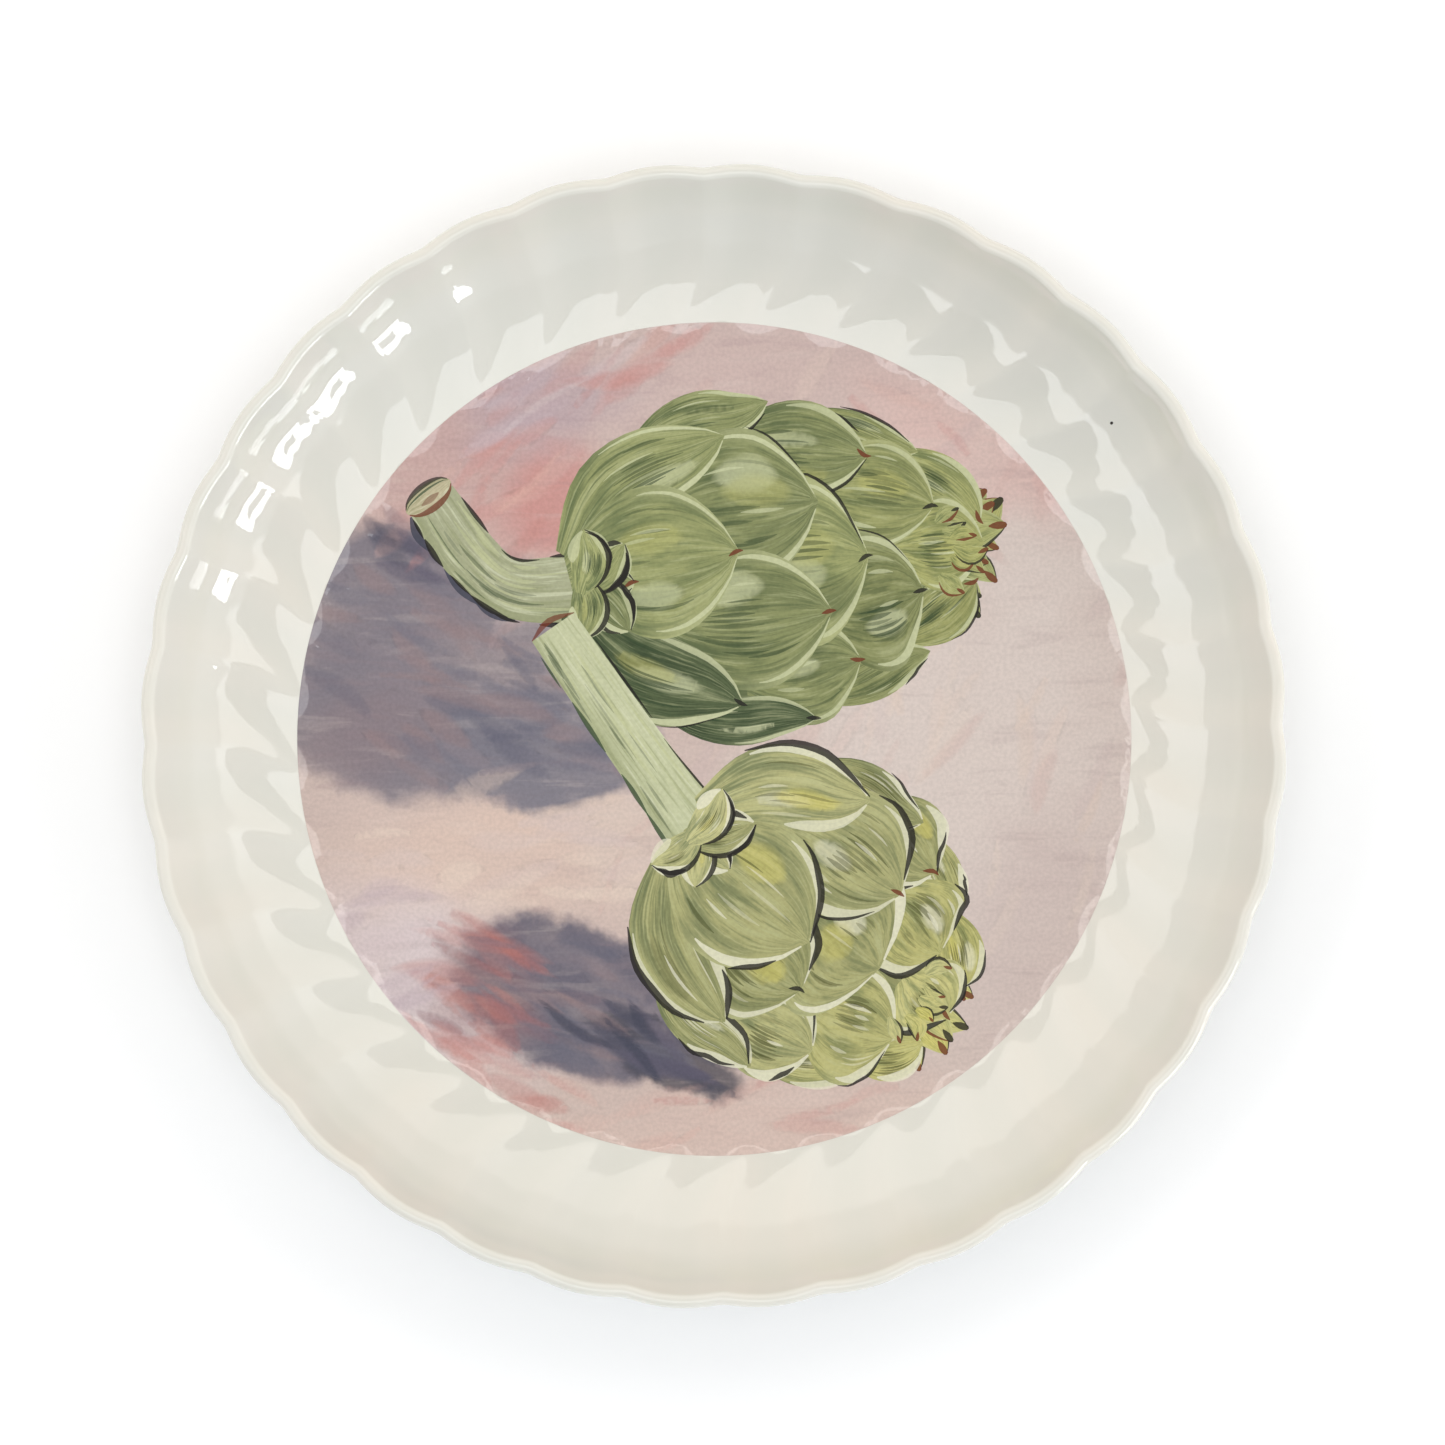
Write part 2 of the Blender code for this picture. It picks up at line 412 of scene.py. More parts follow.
def fluting_tree():
    """Turns a profile round the Z axis and presses the flutes into its side."""
    sizes = ("Flute count", "Flute depth", "First crest", "Toe twist", "Twist end", "Flute start",
             "Cusp softness", "Well radius", "Rim radius", "Wobble", "Bare height")
    names = [("Steps round", "NodeSocketInt")] + [(size, "NodeSocketFloat") for size in sizes]
    names += [("Glaze", "NodeSocketMaterial"), ("Bare body", "NodeSocketMaterial")]
    tree, entry, finish = new_tree("turned_and_fluted", names)
    profile_size = node(tree, "GeometryNodeAttributeDomainSize", {"Geometry": entry["Geometry"]})
    rows = profile_size.outputs["Point Count"]
    columns = calc(tree, "ADD", entry["Steps round"], 1)
    grid = node(tree, "GeometryNodeMeshGrid", {"Vertices X": columns, "Vertices Y": rows}).outputs["Mesh"]
    index = node(tree, "GeometryNodeInputIndex").outputs["Index"]
    row = calc(tree, "MODULO", index, rows)
    column = calc(tree, "FLOOR", calc(tree, "DIVIDE", calc(tree, "ADD", index, 0.5), rows))
    place = node(tree, "GeometryNodeInputPosition").outputs["Position"]
    profile = node(tree, "GeometryNodeSampleIndex", data_type="FLOAT_VECTOR")
    for key, value in (("Geometry", entry["Geometry"]), ("Value", place), ("Index", row)):
        tree.links.new(value, profile.inputs[key])
    along = split(tree, profile.outputs["Value"])
    radius = along["X"]
    angle = calc(tree, "MULTIPLY", calc(tree, "DIVIDE", column, entry["Steps round"]), 2 * math.pi)

    def turned(reach, height):
        """A point at a distance from the axis, turned to its column's angle."""
        return node(tree, "ShaderNodeCombineXYZ", {
            "X": calc(tree, "MULTIPLY", reach, calc(tree, "COSINE", angle)),
            "Y": calc(tree, "MULTIPLY", reach, calc(tree, "SINE", angle)), "Z": height}).outputs["Vector"]

    side = calc(tree, "SUBTRACT", entry["Rim radius"], entry["Well radius"])
    part_way = calc(tree, "DIVIDE", calc(tree, "SUBTRACT", radius, entry["Well radius"]), side)
    part_way = calc(tree, "MINIMUM", calc(tree, "MAXIMUM", part_way, 0.0), 1.0)

    def eased(share):
        return ranged(tree, share, 0.0, 1.0)

    untwisted = calc(tree, "SUBTRACT", 1.0, eased(calc(tree, "DIVIDE", part_way, entry["Twist end"])))
    lean = calc(tree, "ADD", entry["First crest"], calc(tree, "MULTIPLY", entry["Toe twist"], untwisted))
    turn = calc(tree, "MULTIPLY", calc(tree, "SUBTRACT", angle, lean), entry["Flute count"])
    wave = calc(tree, "ABSOLUTE", calc(tree, "COSINE", calc(tree, "DIVIDE", turn, 2.0)))
    soft_square = calc(tree, "POWER", entry["Cusp softness"], 2.0)
    soft_wave = calc(tree, "SQRT", calc(tree, "ADD", calc(tree, "POWER", wave, 2.0), soft_square))
    top = calc(tree, "SQRT", calc(tree, "ADD", soft_square, 1.0))
    scallop = calc(tree, "DIVIDE", calc(tree, "SUBTRACT", top, soft_wave),
                   calc(tree, "SUBTRACT", top, entry["Cusp softness"]))
    pressed = eased(calc(tree, "DIVIDE", part_way, entry["Flute start"]))
    ridge_share = calc(tree, "MULTIPLY", scallop, pressed)
    depth = calc(tree, "MULTIPLY", ridge_share, entry["Flute depth"])

    noise = node(tree, "ShaderNodeTexNoise", {"Vector": turned(radius, 0.0), "Scale": HAND_SCALE,
                                              "Detail": 1.0}).outputs["Fac"]
    hand = calc(tree, "MULTIPLY", calc(tree, "SUBTRACT", noise, 0.5), entry["Wobble"])
    depth = calc(tree, "ADD", depth, product(tree, hand, pressed, 2.0))

    aim = calc(tree, "MULTIPLY", part_way, math.pi / 2)
    inwards = calc(tree, "MULTIPLY", depth, calc(tree, "SINE", aim))
    upwards = calc(tree, "MULTIPLY", depth, calc(tree, "COSINE", aim))
    spot = turned(calc(tree, "SUBTRACT", radius, inwards), calc(tree, "ADD", along["Z"], upwards))
    shaped = node(tree, "GeometryNodeSetPosition", {"Geometry": grid, "Position": spot}).outputs["Geometry"]
    ridge = node(tree, "GeometryNodeStoreNamedAttribute", {"Geometry": shaped, "Name": "ridge"},
                 data_type="FLOAT", domain="POINT")
    tree.links.new(ridge_share, ridge.inputs["Value"])
    closed = node(tree, "GeometryNodeMergeByDistance", {
        "Geometry": ridge.outputs["Geometry"], "Distance": WELD_DISTANCE}).outputs["Geometry"]
    whole = node(tree, "GeometryNodeRealizeInstances", {"Geometry": closed}).outputs["Geometry"]
    smooth = node(tree, "GeometryNodeSetShadeSmooth", {"Geometry": whole}).outputs["Geometry"]
    glazed = node(tree, "GeometryNodeSetMaterial", {"Geometry": smooth, "Material": entry["Glaze"]})
    standing = calc(tree, "LESS_THAN", split(tree, place)["Z"], entry["Bare height"])
    wiped = node(tree, "GeometryNodeSetMaterial", {"Geometry": glazed.outputs["Geometry"],
                                                   "Selection": standing, "Material": entry["Bare body"]})
    tree.links.new(wiped.outputs["Geometry"], finish["Geometry"])
    return tree


def stored(tree, name, output):
    """What a piece's mesh stores under a name."""
    return node(tree, "ShaderNodeAttribute", attribute_name=name).outputs[output]


def glossy_skin(tree, shader, place, waviness):
    """The fired gloss: a thin clear skin with a slow ripple and small changes of polish."""
    polish = ranged(tree, noise_field(tree, place, POLISH_SCALE), 0.3, 0.7, *POLISH)
    ripple = noise_field(tree, place, RIPPLE_SCALE, 1.0)
    bump = node(tree, "ShaderNodeBump", {"Height": ripple, "Strength": waviness, "Distance": RIPPLE_HEIGHT})
    tree.links.new(polish, shader.inputs["Roughness"])
    tree.links.new(bump.outputs["Normal"], shader.inputs["Normal"])
    shader.inputs["IOR"].default_value = GLAZE_IOR


def glaze_material():
    """Cream glaze: a shade deeper where it pools between ridges, with the odd iron speck."""
    material, tree, shader = new_material("cream_glaze")
    place = node(tree, "ShaderNodeTexCoord").outputs["Object"]
    ridge = stored(tree, "ridge", "Fac")
    cloud = ranged(tree, noise_field(tree, place, CLOUD_SCALE), 0.35, 0.7)
    color = mixed(tree, cloud, GLAZE_CREAM, GLAZE_WARM)
    color = mixed(tree, ranged(tree, ridge, 0.45, 0.0, 0.0, 0.35), color, GLAZE_POOLED)
    cells = node(tree, "ShaderNodeTexVoronoi", {"Vector": place, "Scale": SPECK_CELLS},
                 voronoi_dimensions="2D").outputs
    near = ranged(tree, cells["Distance"], *SPECK_EDGE)
    random_share = node(tree, "ShaderNodeSeparateColor", {"Color": cells["Color"]}).outputs["Red"]
    chosen = calc(tree, "GREATER_THAN", random_share, CELLS_WITHOUT)
    color = mixed(tree, calc(tree, "MULTIPLY", near, chosen), color, IRON_BROWN)
    tree.links.new(color, shader.inputs["Base Color"])
    glossy_skin(tree, shader, place, WALL_WAVINESS)
    return material


def bare_material():
    """The foot's standing face: fired body with no glaze, fine sand and faint kiln dirt."""
    material, tree, shader = new_material("bare_porcelain")
    place = node(tree, "ShaderNodeTexCoord").outputs["Object"]
    grit = noise_field(tree, place, GRIT_SCALE, 4.0)
    dirt = noise_field(tree, place, DIRT_SCALE, 3.0)
    color = mixed(tree, ranged(tree, dirt, 0.55, 0.75, 0.0, 0.5), BARE_BODY, KILN_DIRT)
    color = mixed(tree, ranged(tree, grit, 0.62, 0.72, 0.0, 0.5), color, DARK_GRIT)
    tree.links.new(color, shader.inputs["Base Color"])
    tree.links.new(ranged(tree, grit, 0.2, 0.8, 0.6, 0.9), shader.inputs["Roughness"])
    bump = node(tree, "ShaderNodeBump", {"Height": grit, "Strength": 0.5, "Distance": 0.00008})
    tree.links.new(bump.outputs["Normal"], shader.inputs["Normal"])
    return material


def outline_mesh(name, points):
    """A bare line through points given as (radius, height), in the XZ plane."""
    mesh = bpy.data.meshes.new(name)
    steps = [(step, step + 1) for step in range(len(points) - 1)]
    mesh.from_pydata([(point.x, 0.0, point.y) for point in points], steps, [])
    return mesh


def faced_outwards(piece):
    """Turn every face of a closed mesh outwards."""
    body = bmesh.new()
    body.from_mesh(piece.data)
    bmesh.ops.recalc_face_normals(body, faces=body.faces[:])
    body.to_mesh(piece.data)
    body.free()


glaze = glaze_material()
plate = bpy.data.objects.new("plate_body", outline_mesh("plate_body", plate_profile()))
bpy.context.scene.collection.objects.link(plate)
grown(plate, fluting_tree(), {
    "Steps round": FLUTE_COUNT * STEPS_PER_FLUTE, "Flute count": float(FLUTE_COUNT),
    "Flute depth": FLUTE_DEPTH, "First crest": FIRST_CREST, "Toe twist": TOE_TWIST,
    "Twist end": TWIST_END, "Flute start": FLUTE_START, "Cusp softness": CUSP_SOFTNESS,
    "Well radius": WELL_RADIUS, "Rim radius": RIM_DIAMETER / 2, "Wobble": WOBBLE,
    "Bare height": BARE_HEIGHT, "Glaze": glaze, "Bare body": bare_material()})
faced_outwards(plate)
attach(plate, "root")
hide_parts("plate")


# ---------------------------------------------------------------------------------------------
# Printed picture: a ceramic decal of a painted still life, two artichokes on a pink cloth.
# It is screened in enamel colours, slid wet over the well and the toes of the flutes, and fired until
# it fuses into the glaze. Its sizes are in millimetres from the middle of the well.

MM = 0.001
PRINT_RADIUS = 75.0
BORDER_STEPS = 480
FILM_THICKNESS = 0.00003
FILM_GAP = 0.000008
GRID_STEP = 1.5
EDGE_MARGIN = 0.12
UNDERSIDE_INSETS = (0.0, 1.0, 2.0, 3.2, 4.6)
PRINT_SHADE = 0.86
PAPER_GRAIN_SCALE = 1500.0
PRINT_WAVINESS = 0.12


def display_color(red, green, blue):
    """A linear colour from the values out of 255 that a screen would show."""
    def linear(value):
        share = value / 255
        return share / 12.92 if share <= 0.04045 else ((share + 0.055) / 1.055) ** 2.4
    return (linear(red), linear(green), linear(blue), 1.0)


def blended(first, second, share):
    return tuple(a + (b - a) * share for a, b in zip(first, second))


def curve_through(points, steps):
    """A smooth line of evenly spaced points through a few points."""
    ends = [2 * np.array(points[0]) - np.array(points[1])] + [np.array(point) for point in points]
    ends += [2 * np.array(points[-1]) - np.array(points[-2])]
    line = []
    for before, start, end, after in zip(ends, ends[1:], ends[2:], ends[3:]):
        bend = 2 * before - 5 * start + 4 * end - after
        twist = 3 * start - before - 3 * end + after
        for t in np.linspace(0, 1, 12, endpoint=False):
            line.append(0.5 * (2 * start + (end - before) * t + bend * t ** 2 + twist * t ** 3))
    line = np.array(line + [np.array(points[-1], dtype=float)])
    run = np.concatenate(([0.0], np.cumsum(np.hypot(*np.diff(line, axis=0).T))))
    even = np.linspace(0, run[-1], steps)
    return np.column_stack((np.interp(even, run, line[:, 0]), np.interp(even, run, line[:, 1])))


class Shape:
    """A painted shape: a centre line with a half-width at each of its points, and its colour.

    Its paint is a body's ("leaf" or "stalk"), an opaque "mark" of the pen, or a soft-edged "wash".
    """

    def __init__(self, line, half, paint, tone, seed=0.0, share=1.0):
        self.line = np.asarray(line, float)
        self.half = np.asarray(half, float)
        self.paint = paint
        self.tone = tone
        self.seed = seed
        self.share = share
        ahead = np.gradient(self.line, axis=0)
        ahead /= np.maximum(np.hypot(*ahead.T), 1e-9)[:, None]
        self.normal = np.column_stack((-ahead[:, 1], ahead[:, 0]))

    def outline(self):
        """Its closed outline, drawn back where it would run off the sheet."""
        side = self.normal * self.half[:, None]
        points = np.vstack((self.line + side, (self.line - side)[::-1]))
        reach = np.maximum(np.hypot(*points.T), 1e-9)
        return points * np.minimum(1, (PRINT_RADIUS - EDGE_MARGIN) / reach)[:, None]

    def inside(self, start, end, across, steps):
        """A line within the shape, between two shares of its length, off its middle."""
        shares = np.linspace(0, 1, len(self.line))
        want = np.linspace(start, end, steps)
        side = self.normal * self.half[:, None] * across
        return np.column_stack([np.interp(want, shares, self.line[:, k] + side[:, k]) for k in (0, 1)])

    def place_of(self, points):
        """Where points lie in the shape: shares along it and across it, from -1 to 1."""
        start, end = self.line[:-1], self.line[1:]
        step = end - start
        offset = points[:, None, :] - start[None]
        share = np.clip((offset * step).sum(2) / np.maximum((step ** 2).sum(1), 1e-12), 0, 1)
        away = offset - share[..., None] * step
        nearest = np.argmin((away ** 2).sum(2), axis=1)
        rows = np.arange(len(points))
        share = share[rows, nearest]
        along = (nearest + share) / len(step)
        side = (away[rows, nearest] * self.normal[nearest]).sum(1)
        half = np.interp(along, np.linspace(0, 1, len(self.half)), self.half)
        return along, np.clip(side / np.maximum(half, 0.05), -1, 1)

    def cover_at(self, points):
        """How much a mark or a wash covers at points: a wash fades at its sides and its ends."""
        if self.paint == "mark":
            return np.full(len(points), self.share)
        along, across = self.place_of(points)
        sides = np.clip((1 - np.abs(across)) * 2, 0, 1)
        ends = np.clip(np.minimum(along, 1 - along) * 6, 0, 1)
        return self.share * sides * ends


def tapered(line, width, paint, tone, share=1.0):
    """A brush or pen mark that swells in its middle."""
    steps = len(line)
    half = [width * math.sin(math.pi * (0.05 + 0.9 * step / (steps - 1))) for step in range(steps)]
    return Shape(line, half, paint, tone, share=share)


DEEP_GREEN = display_color(74, 90, 66)
LIGHT_GREEN = display_color(172, 176, 120)
PALE_GREEN = display_color(196, 200, 156)
YELLOW_GREEN = display_color(190, 188, 116)
INK = display_color(44, 42, 40)
SLATE = display_color(74, 76, 90)
RUST = display_color(118, 60, 44)
INK_SHARE = 0.92
BRACT_STEPS = 12


def bract_half_width(along, point):
    """A bract's half-width against its widest, from its root to its tip; point 1 is a sharp tip."""
    widest = 0.52
    if along < widest:
        return 0.30 + 0.70 * math.sin(math.pi / 2 * along / widest)
    return (1 - ((along - widest) / (1 - widest)) ** (2.4 - 0.9 * point)) ** (0.70 + 0.25 * point)


def egg(along):
    """A bud's half-girth against its fullest, from its stem at 0 to its tip at 1."""
    fullest = 0.40
    if along < fullest:
        return math.sqrt(max(1 - ((fullest - along) / 0.43) ** 2, 0.0))
    return max(1 - ((along - fullest) / 0.64) ** 1.9, 0.0) ** 0.62


def by_hand(line, amount, draw):
    """The same line, drawn a little unsteadily."""
    return curve_through([point + np.array((draw.gauss(0, amount), draw.gauss(0, amount)))
                          for point in line[::3]], len(line))


def bract_marks(bract, tones, ink, draw):
    """The brush and pen marks over one bract: washes, hatching, pale rims, inked edges and a tip."""
    size = bract.half.max()
    marks = []
    for tone, chance, share in ((tones["hatch"], 0.45, 0.45), (tones["pale"], 0.60, 0.60),
                                (tones["young"], 0.50, 0.55)):
        if draw.random() < chance:
            start = draw.uniform(0.20, 0.42)
            line = bract.inside(start, start + draw.uniform(0.36, 0.50), draw.uniform(-0.6, 0.6), 9)
            marks.append(tapered(line, size * draw.uniform(0.16, 0.32), "wash", tone,
                                 share * draw.uniform(0.6, 1.0)))
    if draw.random() < 0.7:
        first, low = draw.uniform(-0.75, 0.15), draw.uniform(0.22, 0.42)
        for number in range(draw.randint(6, 9)):
            start = low + draw.uniform(-0.05, 0.05)
            line = bract.inside(start, start + draw.uniform(0.22, 0.42), first + 0.085 * number, 7)
            marks.append(tapered(line, draw.uniform(0.22, 0.42) * min(size / 9, 1.2), "mark",
                                 tones["hatch"], draw.uniform(0.35, 0.75)))
    for _ in range(draw.randint(6, 9)):
        start = draw.uniform(0.25, 0.55)
        end = min(start + draw.uniform(0.15, 0.38), 0.93)
        line = bract.inside(start, end, draw.uniform(-0.74, 0.74), 7)
        tone = tones["hatch"] if draw.random() < 0.68 else tones["pale"]
        marks.append(tapered(line, draw.uniform(0.14, 0.36) * min(size / 8, 1.2), "mark", tone,
                             draw.uniform(0.25, 0.65)))
    for side in (-1, 1):
        rim = bract.inside(draw.uniform(0.35, 0.55), 0.98, side * 0.90, 12)
        marks.append(tapered(rim, draw.uniform(0.35, 0.85) * ink["rim"], "mark", tones["pale"],
                             draw.uniform(0.55, 0.85)))
    for side in (-1, 1):
        if draw.random() < ink["chance"]:
            edge = bract.inside(draw.uniform(0.30, 0.78), draw.uniform(0.9, 1.0), side * 1.02, 13)
            marks.append(tapered(by_hand(edge, 0.18, draw), draw.uniform(0.14, 0.38) * ink["width"],
                                 "mark", INK, INK_SHARE))
    if draw.random() < ink["tips"]:
        tip = bract.line[-1]
        back = bract.line[-2] - tip
        back = back / np.hypot(*back)
        hook = tip + back * 2.0 + bract.normal[-1] * draw.uniform(-1.2, 1.2)
        marks.append(tapered(curve_through([hook, tip + back * 0.5, tip - back * 0.7], 6), 0.42,
                             "mark", draw.choice((RUST, RUST, INK)), 0.9))
    return marks


def bract_at(root, tip, half, bow, point, tone, draw):
    """One bract between two points, bowed sideways by a share of its length."""
    root, tip = np.array(root), np.array(tip)
    run = tip - root
    middle = (root + tip) / 2 + np.array((-run[1], run[0])) * bow
    line = curve_through([root, middle, tip], BRACT_STEPS + 1)
    widths = [half * bract_half_width(step / BRACT_STEPS, point) for step in range(BRACT_STEPS + 1)]
    return Shape(line, widths, "leaf", tone, draw.random())


FURTHEST_SEEN = math.radians(98)


def bud(stalk_end, aim, length, girth, rows, around, nod, light, tones, ink, point, draw):
    """A bud's bracts, from behind its tip back to its stalk, each with its marks."""
    stalk_end = np.array(stalk_end)
    ahead = np.array((math.cos(aim), math.sin(aim)))
    beside = np.array((-ahead[1], ahead[0]))

    def on_bud(along, turn):
        round_here = girth * egg(along)
        return (stalk_end + ahead * (length * along + nod * round_here * math.cos(turn))
                + beside * round_here * math.sin(turn))

    heart = np.linspace(0.04, 0.92, 15)
    painted = [Shape([stalk_end + ahead * length * along for along in heart],
                     [girth * 0.93 * egg(along) for along in heart], "leaf",
                     blended(tones["deep"], tones["light"], 0.4), draw.random())]
    for row in range(rows - 1, -1, -1):
        rise = row / (rows - 1)
        root = -0.02 + 0.80 * rise
        turns = [2 * math.pi * (step + 0.5 * (row % 2) + draw.uniform(-0.12, 0.12)) / around
                 for step in range(-around // 2, around // 2 + 1)]
        seen = [turn for turn in turns if abs(turn) < FURTHEST_SEEN]
        for turn in sorted(seen, key=lambda turn: -abs(turn)):
            tip = root + (0.44 - 0.20 * rise) * draw.uniform(0.86, 1.12)
            points = [on_bud(root + (tip - root) * share, turn) for share in (0, 0.25, 0.5, 0.75, 1)]
            flare = np.dot(points[-1] - stalk_end, beside) * beside
            points[-1] = points[-1] + flare * draw.uniform(0.04, 0.11)
            line = curve_through(points, 15)
            middle = max(egg((root + tip) / 2), 0.30)
            facing = max(math.cos(turn), 0.30)
            half = girth * middle * math.sin(math.pi / around) * 1.24 * facing * draw.uniform(0.90, 1.12)
            lit = 0.5 + 0.5 * (math.sin(turn) * light[0] + math.cos(turn) * light[1])
            lit += light[2] * (rise - 0.5) + draw.uniform(-0.26, 0.26)
            tone = blended(tones["deep"], tones["light"], min(max(lit, 0.0), 1.0))
            tone = blended(tone, tones["young"], max(rise - 0.45, 0) * draw.uniform(0.45, 0.9))
            widths = [half * bract_half_width(step / 14, point) for step in range(15)]
            bract = Shape(line, widths, "leaf", tone, draw.random())
            painted.append(bract)
            painted += bract_marks(bract, tones, ink, draw)
    return painted


def tuft(tip, aim, size, width, count, tones, draw):
    """The small dry points that close a bud, browned and curled at their ends."""
    ahead = np.array((math.cos(aim), math.sin(aim)))
    beside = np.array((-ahead[1], ahead[0]))
    painted = []
    sides = [2 * (number + 0.5) / count - 1 for number in range(count)]
    for side in sorted(sides, key=lambda side: -abs(side)):
        turn = aim + side * 0.75 + draw.uniform(-0.25, 0.25)
        behind = width * 0.5 * side * side + draw.uniform(0, 1.5)
        root = np.array(tip) + beside * width * side - ahead * behind
        reach = size * draw.uniform(0.7, 1.15)
        end = root + reach * np.array((math.cos(turn), math.sin(turn)))
        tone = blended(tones["light"], tones["young"], draw.uniform(0.1, 0.9))
        leaf = bract_at(root, end, reach * draw.uniform(0.24, 0.34), draw.uniform(-0.25, 0.25), 0.9,
                        tone, draw)
        painted.append(leaf)
        edge = leaf.inside(0.15, 1.0, draw.choice((-1, 1)) * 0.98, 9)
        painted.append(tapered(edge, draw.uniform(0.15, 0.3), "mark",
                               draw.choice((INK, INK, RUST)), 0.9))
        painted.append(tapered(leaf.inside(0.70, 1.05, 0.0, 6), reach * 0.065, "mark",
                               draw.choice((RUST, RUST, INK)), 0.9))
    return painted


def collar(middle, aim, size, spread, count, tones, ink, draw):
    """The short bracts that wrap a bud's foot, where it joins its stalk, inked where they part."""
    painted = []
    for side in sorted((2 * number / (count - 1) - 1 for number in range(count)), key=abs):
        turn = aim + math.radians(spread) * side + draw.uniform(-0.08, 0.08)
        out = np.array((math.cos(turn), math.sin(turn)))
        reach = size * draw.uniform(0.85, 1.15)
        root = np.array(middle) - out * size * 0.12
        tone = blended(tones["deep"], tones["light"], draw.uniform(0.4, 1.0))
        leaf = bract_at(root, root + out * reach, reach * 0.30, -0.12 * side, 0.45, tone, draw)
        painted.append(leaf)
        painted += bract_marks(leaf, tones, ink, draw)
        parting = leaf.inside(0.15, 0.99, -1.0 if side > 0 else 1.0, 12)
        painted.append(tapered(parting, 0.5, "mark", INK, INK_SHARE))
    return painted


def stalk(points, halves, tone, draw):
    """A stalk with long strokes down it; its half-width runs through the values given."""
    steps = 30
    line = curve_through(points, steps)
    widths = np.interp(np.linspace(0, 1, steps), np.linspace(0, 1, len(halves)), halves)
    shaft = Shape(line, widths, "stalk", tone, draw.random())
    painted = [shaft]
    for _ in range(30):
        across = draw.uniform(-0.85, 0.85)
        start = draw.uniform(0.02, 0.75)
        line = shaft.inside(start, min(start + draw.uniform(0.1, 0.4), 0.97), across, 8)
        dark = across < 0.1 and draw.random() < 0.7
        painted.append(tapered(line, draw.uniform(0.15, 0.4), "mark", DEEP_GREEN if dark else PALE_GREEN,
                               draw.uniform(0.25, 0.6)))
    return painted


def edge_strokes(shape, side, tone, count, width, draw):
    """Broken pen strokes along one side of a shape."""
    strokes = []
    for number in range(count):
        start = (number + draw.uniform(0.0, 0.5)) / count
        end = min(start + draw.uniform(0.5, 1.1) / count, 1.0)
        line = shape.inside(start, end, side * draw.uniform(0.94, 1.08), 9)
        strokes.append(tapered(line, width * draw.uniform(0.5, 1.2), "mark", tone, INK_SHARE))
    return strokes


def cut_end(middle, aim, half, draw):
    """The cut face at a stalk's end: a pale oval, browned round its rim."""
    across = np.array((-math.sin(aim), math.cos(aim)))
    turns = np.linspace(-1, 1, 13)
    line = np.array(middle) + across * half * turns[:, None]
    widths = [half * 0.46 * math.sqrt(max(1 - turn * turn, 0.02)) for turn in turns]
    face = Shape(line, widths, "stalk", display_color(196, 186, 156), draw.random())
    painted = [face]
    for side, tone, width in ((-1, INK, 0.5), (1, RUST, 0.6), (-0.55, DEEP_GREEN, 0.2)):
        painted.append(tapered(face.inside(0.02, 0.98, side, 14), width, "mark", tone, 0.85))
    painted.append(tapered(face.inside(0.3, 0.7, 0.25, 8), 0.6, "mark", RUST, 0.55))
    return painted


def brushed_patch(middle, size, turn, tints, count, share, draw):
    """Broad soft strokes over an oval patch of the ground, laid roughly one way."""
    strokes = []
    turn = math.radians(turn)
    ahead = np.array((math.cos(turn), math.sin(turn)))
    beside = np.array((-ahead[1], ahead[0]))
    for _ in range(count):
        out = math.sqrt(draw.random())
        around = draw.uniform(0, 2 * math.pi)
        spot = (np.array(middle) + ahead * size[0] * out * math.cos(around)
                + beside * size[1] * out * math.sin(around))
        aim = turn + draw.gauss(0, 0.22)
        along = np.array((math.cos(aim), math.sin(aim))) * draw.uniform(4.5, 11)
        bend = np.array((-along[1], along[0])) * draw.uniform(-0.15, 0.15)
        line = curve_through([spot - along, spot + bend, spot + along], 9)
        strokes.append(tapered(line, draw.uniform(0.8, 2.6), "wash", draw.choice(tints),
                               share * draw.uniform(0.5, 1.0)))
    return strokes


